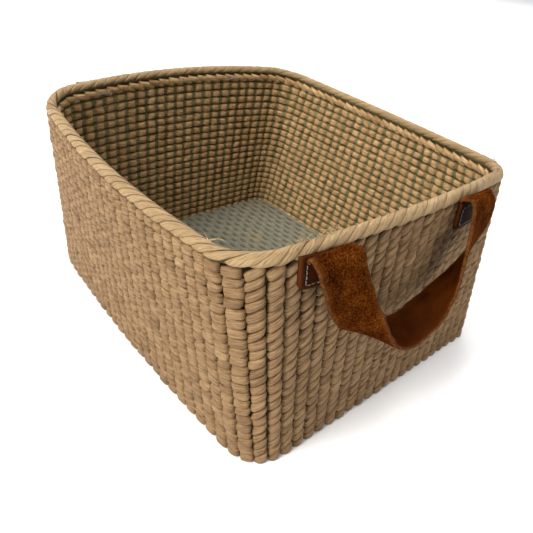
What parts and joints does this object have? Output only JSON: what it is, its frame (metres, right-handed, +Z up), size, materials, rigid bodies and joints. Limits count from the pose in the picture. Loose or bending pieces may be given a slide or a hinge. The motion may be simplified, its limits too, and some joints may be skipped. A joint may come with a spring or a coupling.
{
  "type": "storage basket",
  "caption": "Rectangular open-topped basket of coiled, stitched grass with a wrapped rim and a hanging leather strap handle on each short side.",
  "frame": {"origin": "middle of the basket's footprint, on the floor under the floor mat", "axes": "+X along the basket's long axis towards the lower-rimmed short side, +Y across it, +Z up"},
  "size_m": [0.3462, 0.2816, 0.163],
  "materials": {
    "stitched_grass": "dry matt plant fibre, tan with straw and brown stitches",
    "wrapped_palm_leaf": "pale flat leaf strips, slight sheen",
    "floor_mat_grass": "grey-green matt plant fibre",
    "suede_strap": "rough suede outside, smooth brown grain inside",
    "grain_leather": "smooth dark brown grain",
    "sewing_thread": "waxed grey thread"
  },
  "bodies": {
    "basket": {"wall_course_01": "stitched_grass", "wall_course_02": "stitched_grass", "wall_course_03": "stitched_grass", "wall_course_04": "stitched_grass", "wall_course_05": "stitched_grass", "wall_course_06": "stitched_grass", "wall_course_07": "stitched_grass", "wall_course_08": "stitched_grass", "wall_course_09": "stitched_grass", "wall_course_10": "stitched_grass", "wall_course_11": "stitched_grass", "wall_course_12": "stitched_grass", "wall_course_13": "stitched_grass", "wall_course_14": "stitched_grass", "wall_course_15": "stitched_grass", "wall_course_16": "stitched_grass", "wall_course_17": "stitched_grass", "wall_course_18": "stitched_grass", "wall_course_19": "stitched_grass", "wall_course_20": "stitched_grass", "wall_course_21": "stitched_grass", "wall_course_22": "stitched_grass", "rim_bundle": "wrapped_palm_leaf", "floor_mat": "floor_mat_grass", "east_patch_front": "grain_leather", "east_box_stitch_front": "sewing_thread", "east_inside_knot_front": "sewing_thread", "east_patch_back": "grain_leather", "east_box_stitch_back": "sewing_thread", "east_inside_knot_back": "sewing_thread", "west_patch_front": "grain_leather", "west_box_stitch_front": "sewing_thread", "west_inside_knot_front": "sewing_thread", "west_patch_back": "grain_leather", "west_box_stitch_back": "sewing_thread", "west_inside_knot_back": "sewing_thread"},
    "east_handle": {"east_strap_loop": "suede_strap"},
    "west_handle": {"west_strap_loop": "suede_strap"}
  },
  "joints": [
    {"name": "east_handle_swing", "type": "hinge", "parent": "basket", "child": "east_handle", "pos_m": [0.14611, -0.018, 0.14421], "axis": [0, -1, 0], "range_deg": [0, 100]},
    {"name": "west_handle_swing", "type": "hinge", "parent": "basket", "child": "west_handle", "pos_m": [-0.14433, -0.011, 0.15304], "axis": [0, 1, 0], "range_deg": [0, 90]}
  ]
}
